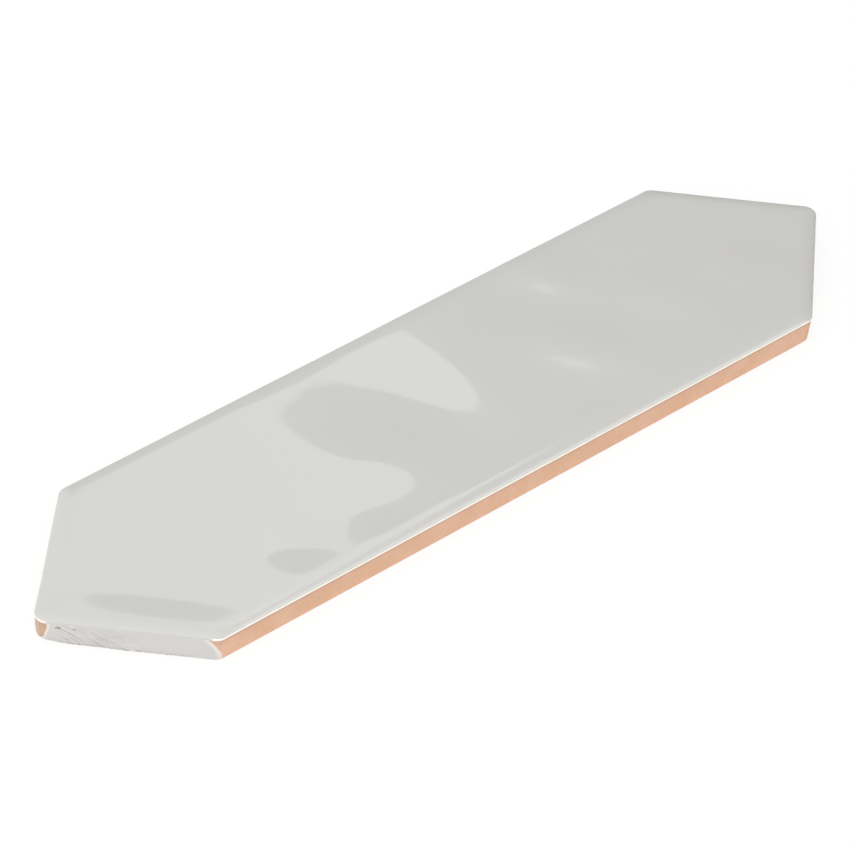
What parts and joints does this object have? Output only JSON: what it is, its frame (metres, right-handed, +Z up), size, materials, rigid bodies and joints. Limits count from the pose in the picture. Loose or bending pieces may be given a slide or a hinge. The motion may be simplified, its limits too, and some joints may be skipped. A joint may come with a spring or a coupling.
{
  "type": "picket wall tile",
  "caption": "Elongated-hexagon ceramic wall tile with a wavy, glossy light-grey glazed face and a bare red-clay body.",
  "frame": {"origin": "middle of the flat back face, which lies on the floor", "axes": "+X along the tile from point to point, +Y across its two long sides, +Z up out of the glazed face"},
  "size_m": [0.3, 0.075, 0.0102],
  "materials": {
    "glazed_body": "gloss"
  },
  "bodies": {
    "root": {"tile": "glazed_body"}
  },
  "joints": []
}
